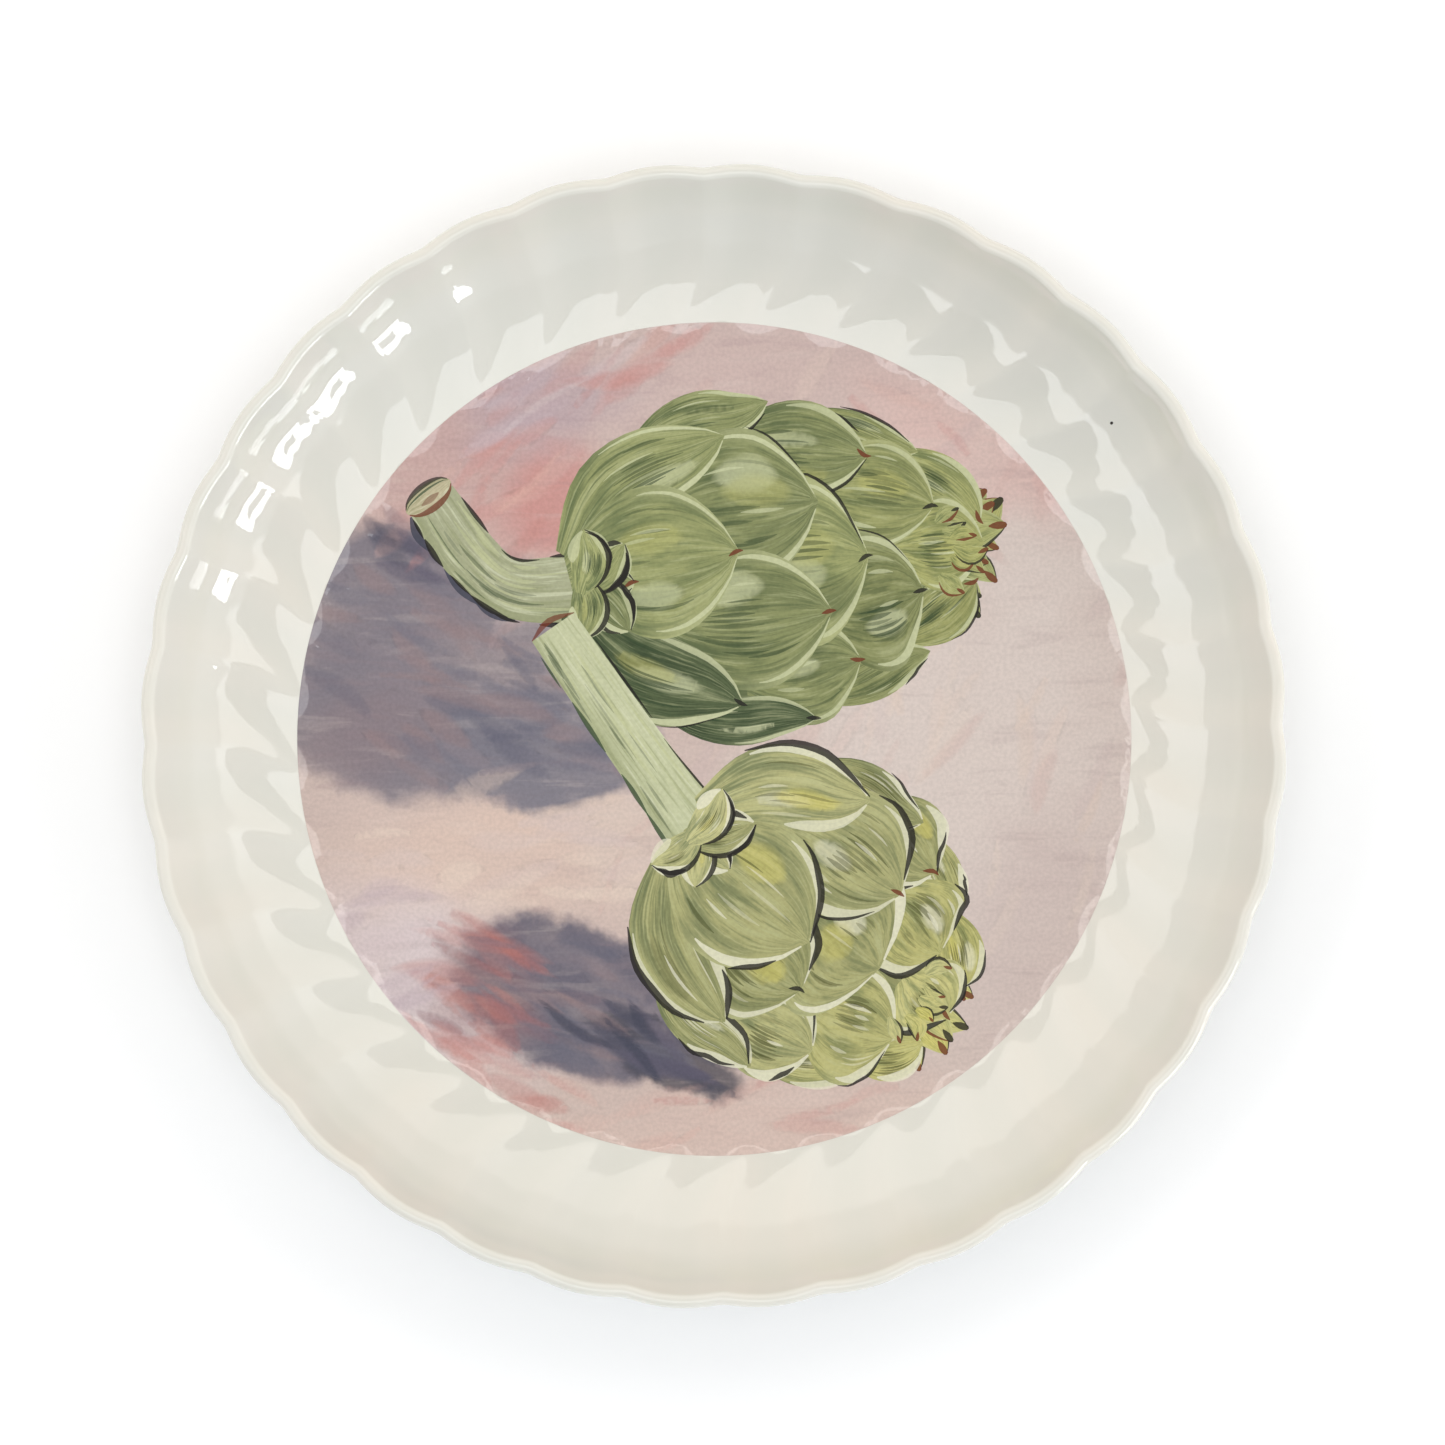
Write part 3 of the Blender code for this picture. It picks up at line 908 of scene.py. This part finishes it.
def cloth_strokes(draw):
    """The brushwork of the cloth and of the two cast shadows."""
    def tints(*values):
        return [display_color(*value) for value in values]

    pinks = tints((222, 196, 188), (206, 170, 164), (228, 206, 194), (200, 178, 178))
    corals = tints((206, 150, 144), (196, 140, 134), (218, 178, 168))
    creams = tints((230, 212, 198), (222, 200, 186), (214, 196, 192))
    slates = tints((118, 116, 130), (142, 132, 140), (104, 104, 120), (150, 128, 130))
    reds = tints((172, 108, 106), (190, 124, 116), (140, 104, 112))
    darks = tints((84, 84, 100), (98, 94, 112), (72, 74, 90))
    lilacs = tints((216, 200, 202), (204, 188, 194), (194, 176, 184))
    strokes = []
    # Middle and size in millimetres, turn in degrees, colours, number of strokes, strength
    for patch in (((20, 2), (62, 72), 60, pinks, 64, 0.30),
                  ((44, -8), (26, 50), 75, creams, 30, 0.34),
                  ((-30, 52), (34, 16), 40, corals, 26, 0.45),
                  ((48, 52), (24, 14), -45, corals, 12, 0.35),
                  ((-38, -20), (34, 12), 6, creams, 26, 0.45),
                  ((-6, -68), (52, 7), 6, corals, 18, 0.35),
                  ((-50, 14), (26, 22), -24, slates, 44, 0.55),
                  ((-28, -1), (18, 10), -8, slates, 18, 0.55),
                  ((-24, -47), (21, 11), -20, slates, 30, 0.60),
                  ((-42, -46), (9, 14), -30, reds, 26, 0.44),
                  ((-38, -60), (16, 4), -20, corals, 10, 0.45),
                  ((-32, -42), (14, 8), -20, slates, 12, 0.4),
                  ((-59, -40), (8, 14), 20, lilacs, 20, 0.5),
                  ((-30, 62), (16, 6), 24, lilacs, 12, 0.4),
                  ((-12, -55), (16, 5), -26, darks, 16, 0.70),
                  ((-54, 34), (10, 4), -38, darks, 8, 0.55)):
        strokes += brushed_patch(*patch, draw)
    return strokes


def still_life():
    """Every painted shape, from the back of the picture to its front."""
    draw = random.Random(7)
    green = {"deep": DEEP_GREEN, "light": LIGHT_GREEN, "young": YELLOW_GREEN,
             "hatch": display_color(58, 76, 52), "pale": display_color(208, 212, 172)}
    golden = {"deep": display_color(118, 124, 76), "light": display_color(210, 206, 150),
              "young": display_color(218, 208, 112), "hatch": display_color(84, 88, 52),
              "pale": display_color(234, 232, 208)}
    fine_ink = {"chance": 0.45, "width": 1.0, "rim": 0.8, "tips": 0.55}
    bold_ink = {"chance": 0.62, "width": 1.9, "rim": 1.3, "tips": 0.30}
    painted = cloth_strokes(draw)

    short_stalk = stalk([(-51, 43), (-44, 33), (-36, 27), (-23, 27)], (4.6, 5.2, 5.0, 5.8, 6.4),
                        display_color(172, 175, 144), draw)
    painted += edge_strokes(short_stalk[0], -1, SLATE, 4, 1.5, draw)
    painted += short_stalk
    painted += edge_strokes(short_stalk[0], -1, INK, 7, 0.55, draw)
    painted += edge_strokes(short_stalk[0], 1, INK, 3, 0.35, draw)
    painted += cut_end((-51.5, 43.5), math.radians(128), 4.9, draw)

    painted += tuft((43, 35), math.radians(6), 11, 7.5, 11, green, draw)
    painted += bud((-25, 28), math.radians(5.5), 72, 28, 5, 7, 0.08, (0.3, 0.3, 0.2), green, fine_ink,
                   0.4, draw)
    painted += tuft((43.5, 34.5), math.radians(6), 6, 5.5, 7, green, draw)
    painted += collar((-24, 27.5), math.radians(2), 12.5, 88, 5, green, bold_ink, draw)

    long_stalk = stalk([(-29, 20), (-18, 4), (-8, -10), (-2, -18)], (4.6, 4.9, 5.2, 6.2),
                       display_color(200, 204, 168), draw)
    painted += long_stalk
    painted += edge_strokes(long_stalk[0], -1, DEEP_GREEN, 4, 0.45, draw)
    painted += edge_strokes(long_stalk[0], 1, INK, 2, 0.22, draw)
    top_edge = long_stalk[0].outline()[[0, -1]]
    browned = curve_through([top_edge[0], top_edge.mean(0) + (-0.9, 1.0), top_edge[1]], 9)
    painted.append(tapered(browned, 0.55, "mark", RUST, 0.8))

    painted += tuft((37, -48), math.radians(-37), 9, 8, 10, golden, draw)
    painted += bud((-5, -17), math.radians(-36), 56, 27, 5, 7, 0.16, (0.35, 0.35, 0.25), golden, bold_ink,
                   0.15, draw)
    painted += tuft((37, -48), math.radians(-37), 5, 6, 6, golden, draw)
    painted += collar((-4, -17.5), math.radians(-40), 12, 100, 5, golden, bold_ink, draw)
    return painted


def within(points, outline):
    """Which points lie inside a closed outline."""
    start, end = outline, np.roll(outline, -1, axis=0)
    x, y = points[:, 0, None], points[:, 1, None]
    spans = (start[:, 1] > y) != (end[:, 1] > y)
    rise = np.where(end[:, 1] == start[:, 1], 1e-12, end[:, 1] - start[:, 1])
    crossing = start[:, 0] + (y - start[:, 1]) / rise * (end[:, 0] - start[:, 0])
    return (spans & (x < crossing)).sum(1) % 2 == 1


def cut_sheet(shapes):
    """Triangles of the round sheet, cut along every shape's outline."""
    turns = np.linspace(0, 2 * math.pi, BORDER_STEPS, endpoint=False)
    border = PRINT_RADIUS * np.column_stack((np.cos(turns), np.sin(turns)))
    points = [border]
    edges = [(step, (step + 1) % BORDER_STEPS) for step in range(BORDER_STEPS)]
    count = BORDER_STEPS
    for shape in shapes:
        outline = shape.outline()
        points.append(outline)
        edges += [(count + step, count + (step + 1) % len(outline)) for step in range(len(outline))]
        count += len(outline)
        if shape.paint == "wash":
            rows = np.vstack([shape.inside(0.15, 0.85, side, 6) for side in (-0.5, 0.5)])
            rows = rows[np.hypot(*rows.T) < PRINT_RADIUS - GRID_STEP / 3]
            points.append(rows)
            count += len(rows)
    ticks = np.arange(-PRINT_RADIUS, PRINT_RADIUS, GRID_STEP)
    grid = np.array([(x + (row % 2) * GRID_STEP / 2, y) for row, y in enumerate(ticks) for x in ticks])
    points.append(grid[np.hypot(*grid.T) < PRINT_RADIUS - GRID_STEP / 3])
    points = [Vector(point) for point in np.vstack(points)]
    made = delaunay_2d_cdt(points, edges, [], 0, 1e-5, False)
    corners = np.array([tuple(point) for point in made[0]])
    triangles = np.array(made[2])
    middles = corners[triangles].mean(1)
    on_sheet = np.hypot(*middles.T) < PRINT_RADIUS * math.cos(math.pi / BORDER_STEPS)
    used, kept = np.unique(triangles[on_sheet], return_inverse=True)
    return corners[used], kept.reshape(-1, 3)


def painted_sheet(shapes):
    """The cut sheet, with the body shown on each triangle and the marks over each of its corners."""
    corners, triangles = cut_sheet(shapes)
    middles = corners[triangles].mean(1)
    body = np.full(len(triangles), -1)
    marks = np.zeros((len(triangles), 3, 4), dtype=np.float32)
    for number, shape in enumerate(shapes):
        outline = shape.outline()
        near = np.where(((middles >= outline.min(0)) & (middles <= outline.max(0))).all(1))[0]
        covered = near[within(middles[near], outline)]
        if shape.paint in ("mark", "wash"):
            cover = shape.cover_at(corners[triangles[covered].ravel()]).reshape(-1, 3, 1)
            under = marks[covered][..., 3:] * (1 - cover)
            total = np.maximum(cover + under, 1e-6)
            tone = (np.array(shape.tone[:3]) * cover + marks[covered][..., :3] * under) / total
            marks[covered] = np.concatenate((tone, cover + under), axis=2)
        else:
            body[covered] = number
            marks[covered] = 0.0
    return corners, triangles, body, marks


def laid_on_plate(corners, under):
    """Heights of points in millimetres, laid straight down onto the plate's glaze."""
    above = PLATE_HEIGHT * 2
    down = Vector((0, 0, -1))
    return [under.ray_cast(Vector((x * MM, y * MM, above)), down)[0].z for x, y in corners]


def film_mesh(shapes):
    """The decal as a thin closed film: the painted sheet on top, plain rings and a disc below."""
    body = bmesh.new()
    body.from_mesh(plate.data)
    under = BVHTree.FromBMesh(body)
    body.free()
    corners, triangles, shown, marks = painted_sheet(shapes)
    heights = np.array(laid_on_plate(corners, under)) + FILM_GAP + FILM_THICKNESS
    points = [(x * MM, y * MM, z) for (x, y), z in zip(corners, heights)]
    faces = [tuple(int(corner) for corner in triangle) for triangle in triangles]

    turns = np.linspace(0, 2 * math.pi, BORDER_STEPS, endpoint=False)
    round_line = np.column_stack((np.cos(turns), np.sin(turns)))
    last = list(range(BORDER_STEPS))
    for inset in UNDERSIDE_INSETS:
        ring = list(range(len(points), len(points) + BORDER_STEPS))
        spots = (PRINT_RADIUS - inset) * round_line
        for (x, y), z in zip(spots, laid_on_plate(spots, under)):
            points.append((x * MM, y * MM, z + FILM_GAP))
        for step in range(BORDER_STEPS):
            after = (step + 1) % BORDER_STEPS
            faces.append((last[step], last[after], ring[after], ring[step]))
        last = ring
    faces.append(tuple(last))
    mesh = bpy.data.meshes.new("printed_picture")
    mesh.from_pydata(points, [], faces)
    write_paint(mesh, corners, triangles, shapes, shown, marks)
    spread_flat(mesh, len(triangles))
    return mesh


def write_paint(mesh, corners, triangles, shapes, shown, marks):
    """Store what each triangle shows: its shape's place, colour and kind, and the marks over it."""
    count = len(mesh.loops)
    place = np.zeros((count, 3), dtype=np.float32)
    tone = np.ones((count, 4), dtype=np.float32)
    mark = np.zeros((count, 4), dtype=np.float32)
    kinds = np.zeros(len(mesh.polygons), dtype=np.int32)
    for number in np.unique(shown[shown >= 0]):
        shape = shapes[number]
        rows = np.where(shown == number)[0]
        along, across = shape.place_of(corners[triangles[rows].ravel()])
        loops = (rows[:, None] * 3 + np.arange(3)).ravel()
        place[loops] = np.column_stack((along, across, np.full(len(along), shape.seed)))
        tone[loops] = shape.tone
        kinds[rows] = 1 + ("leaf", "stalk").index(shape.paint)
    mark[:marks.size // 4] = marks.reshape(-1, 4)
    mesh.attributes.new("place", "FLOAT_VECTOR", "CORNER").data.foreach_set("vector", place.ravel())
    mesh.attributes.new("tone", "FLOAT_COLOR", "CORNER").data.foreach_set("color", tone.ravel())
    mesh.attributes.new("mark", "FLOAT_COLOR", "CORNER").data.foreach_set("color", mark.ravel())
    mesh.polygons.foreach_set("material_index", kinds)


def spread_flat(mesh, top_faces):
    """The bake's own map: the painted top fills the square, the hidden underside one corner of it."""
    top_share, under_share, under_middle = 0.485, 0.07, 0.92
    vertex = np.zeros(len(mesh.loops), dtype=np.int32)
    mesh.loops.foreach_get("vertex_index", vertex)
    spots = np.zeros(len(mesh.vertices) * 3, dtype=np.float32)
    mesh.vertices.foreach_get("co", spots)
    spots = spots.reshape(-1, 3)[vertex, :2] / (PRINT_RADIUS * MM)
    flat = 0.5 + spots * top_share
    below = np.arange(len(vertex)) >= top_faces * 3
    on_edge = vertex < BORDER_STEPS
    wider = np.where(on_edge, 1.03, 1.0)[:, None]
    flat[below] = (under_middle + spots * wider * under_share)[below]
    mesh.uv_layers.new(name="OFBake").data.foreach_set("uv", flat.ravel().astype(np.float32))


def leaf_paint():
    """Green bracts: streaks that run to the tip, deep colour at the root, a pale rim."""
    material, tree, shader = new_material("leaf_paint")
    place = node(tree, "ShaderNodeTexCoord").outputs["Object"]
    spot = split(tree, stored(tree, "place", "Vector"))
    along, across, seed = spot["X"], spot["Y"], spot["Z"]
    tone = stored(tree, "tone", "Color")

    def streaks(lengthwise, crosswise, offset):
        grain = node(tree, "ShaderNodeCombineXYZ", {
            "X": calc(tree, "MULTIPLY", along, lengthwise), "Y": calc(tree, "MULTIPLY", across, crosswise),
            "Z": calc(tree, "MULTIPLY", seed, offset)}).outputs["Vector"]
        return node(tree, "ShaderNodeTexNoise", {"Vector": grain, "Scale": 1.0, "Detail": 3.0,
                                                 "Roughness": 0.6}).outputs["Fac"]

    broad = streaks(2.0, 3.6, 61.0)
    fine = streaks(3.2, 17.0, 83.0)
    root_shade = ranged(tree, along, 0.80, 0.25)
    edge = calc(tree, "ABSOLUTE", across)
    dark = node(tree, "ShaderNodeMix", {"Factor": 1.0}, data_type="RGBA", blend_type="MULTIPLY")
    tree.links.new(tone, dark.inputs["A"])
    dark.inputs["B"].default_value = (0.36, 0.44, 0.46, 1.0)
    dark = dark.outputs["Result"]
    pale = mixed(tree, 0.55, tone, PALE_GREEN)
    rooted = calc(tree, "MULTIPLY_ADD", root_shade, 0.42, 0.42)
    rim = product(tree, ranged(tree, edge, 0.72, 0.98), ranged(tree, along, 0.30, 0.75), 0.75)
    color = mixed(tree, product(tree, ranged(tree, broad, 0.40, 0.66), rooted), tone, dark)
    color = mixed(tree, ranged(tree, broad, 0.46, 0.26, 0.0, 0.60), color, pale)
    color = mixed(tree, ranged(tree, fine, 0.50, 0.64, 0.0, 0.50), color, dark)
    color = mixed(tree, ranged(tree, fine, 0.47, 0.33, 0.0, 0.50), color, pale)
    color = mixed(tree, rim, color, pale)
    finished_print(tree, shader, place, color)
    return material


def stalk_paint():
    """Pale stalks: long fibres, and a rounder shade along the lower edge."""
    material, tree, shader = new_material("stalk_paint")
    place = node(tree, "ShaderNodeTexCoord").outputs["Object"]
    spot = split(tree, stored(tree, "place", "Vector"))
    tone = stored(tree, "tone", "Color")
    fibre_place = node(tree, "ShaderNodeCombineXYZ", {
        "X": calc(tree, "MULTIPLY", spot["X"], 3.0), "Y": calc(tree, "MULTIPLY", spot["Y"], 7.0),
        "Z": calc(tree, "MULTIPLY", spot["Z"], 47.0)}).outputs["Vector"]
    fibre = noise_field(tree, fibre_place, 1.0, 3.0)
    color = mixed(tree, ranged(tree, spot["Y"], -0.1, -1.0, 0.0, 0.45), tone, display_color(140, 147, 104))
    color = mixed(tree, ranged(tree, fibre, 0.50, 0.68, 0.0, 0.50), color, display_color(142, 149, 106))
    color = mixed(tree, ranged(tree, fibre, 0.46, 0.32, 0.0, 0.60), color, display_color(216, 219, 188))
    finished_print(tree, shader, place, color)
    return material


def finished_print(tree, shader, place, color):
    """The last steps of every printed colour: the marks over it, its grain, the glaze's gloss."""
    color = mixed(tree, stored(tree, "mark", "Alpha"), color, stored(tree, "mark", "Color"))
    grain = noise_field(tree, place, PAPER_GRAIN_SCALE)
    grain = ranged(tree, grain, 0.3, 0.7, PRINT_SHADE * 0.95, PRINT_SHADE * 1.05)
    tree.links.new(vector_math(tree, "SCALE", color, grain), shader.inputs["Base Color"])
    glossy_skin(tree, shader, place, PRINT_WAVINESS)


CLOTH = display_color(208, 188, 181)
# Soft washes on the ground: middle and size in millimetres, turn in degrees, softness, colour, strength
WASHES = [
    ((48, 2), (46, 70), 0, 0.9, display_color(221, 208, 202), 0.9),
    ((0, 66), (60, 16), 4, 0.9, display_color(208, 184, 180), 0.8),
    ((-44, 52), (26, 22), 35, 0.8, display_color(202, 168, 164), 0.9),
    ((-28, 42), (12, 14), -30, 0.8, display_color(204, 144, 139), 0.8),
    ((-30, 60), (20, 9), 18, 0.9, display_color(184, 166, 174), 0.7),
    ((46, 52), (26, 10), -35, 0.8, display_color(222, 190, 184), 0.85),
    ((-40, -22), (36, 15), 8, 0.8, display_color(220, 196, 184), 0.95),
    ((-16, -18), (12, 14), 20, 0.8, display_color(218, 200, 190), 0.7),
    ((-54, -44), (30, 18), -30, 0.9, display_color(218, 204, 206), 0.95),
    ((10, -70), (52, 9), 6, 0.8, display_color(217, 194, 185), 0.85),
    ((60, -34), (18, 26), -20, 0.9, display_color(206, 188, 184), 0.7),
    ((-56, 14), (34, 25), -8, 0.20, display_color(130, 124, 134), 0.97),
    ((-30, -2), (20, 11), 5, 0.22, display_color(126, 124, 136), 0.95),
    ((-62, 2), (16, 10), 20, 0.8, display_color(142, 128, 134), 0.7),
    ((-24, -47), (24, 14), -14, 0.20, display_color(106, 103, 118), 0.97),
    ((-42, -46), (11, 12), 20, 0.9, display_color(150, 112, 114), 0.55),
    ((-9, -57), (17, 5), -24, 0.30, display_color(78, 78, 90), 0.85),
]


def cloth_wash():
    """The painted cloth and its cast shadows: soft washes with ragged, brushed edges."""
    material, tree, shader = new_material("cloth_wash")
    place = node(tree, "ShaderNodeTexCoord").outputs["Object"]

    def push(scale, amount, offset):
        shifted = vector_math(tree, "ADD", place, (offset,) * 3)
        noise = node(tree, "ShaderNodeTexNoise", {"Vector": shifted, "Scale": scale, "Detail": 3.0,
                                                  "Roughness": 0.6}).outputs["Color"]
        return vector_math(tree, "SCALE", vector_math(tree, "SUBTRACT", noise, (0.5,) * 3), amount)

    moved = vector_math(tree, "ADD", place, push(45.0, 0.011, 0.0))
    moved = vector_math(tree, "ADD", moved, push(240.0, 0.0035, 3.0))
    color = CLOTH
    for number, (middle, size, turn, softness, tint, strength) in enumerate(WASHES):
        spot = node(tree, "ShaderNodeMapping", {
            "Vector": moved, "Location": (middle[0] * MM, middle[1] * MM, 0.0),
            "Rotation": (0.0, 0.0, math.radians(turn)),
            "Scale": (size[0] * MM, size[1] * MM, 1.0)}, vector_type="TEXTURE").outputs["Vector"]
        reach = vector_math(tree, "LENGTH", vector_math(tree, "MULTIPLY", spot, (1.0, 1.0, 0.0)))
        cover = ranged(tree, reach, 1.0 + softness * 0.25, 1.0 - softness * 0.75, 0.0, strength)
        patchy = ranged(tree, noise_field(tree, moved, 60.0, 4.0, number * 1.7), 0.2, 0.6, 0.7, 1.0)
        color = mixed(tree, calc(tree, "MULTIPLY", cover, patchy), color, tint)
    brushed = node(tree, "ShaderNodeMapping", {"Vector": place, "Rotation": (0, 0, math.radians(28)),
                                               "Scale": (60.0, 420.0, 60.0)}).outputs["Vector"]
    hair = node(tree, "ShaderNodeTexNoise", {"Vector": brushed, "Scale": 1.0, "Detail": 4.0,
                                             "Distortion": 0.6}).outputs["Fac"]
    color = mixed(tree, ranged(tree, hair, 0.52, 0.70, 0.0, 0.14), color, display_color(226, 212, 204))
    color = mixed(tree, ranged(tree, hair, 0.46, 0.30, 0.0, 0.16), color, display_color(160, 136, 140))
    finished_print(tree, shader, place, color)
    return material


film = film_mesh(still_life())
for paint in (cloth_wash(), leaf_paint(), stalk_paint()):
    film.materials.append(paint)
picture = bpy.data.objects.new("printed_picture", film)
bpy.context.scene.collection.objects.link(picture)
film.shade_smooth()
film.set_sharp_from_angle(angle=math.radians(40.0))
faced_outwards(picture)
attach(picture, "root")
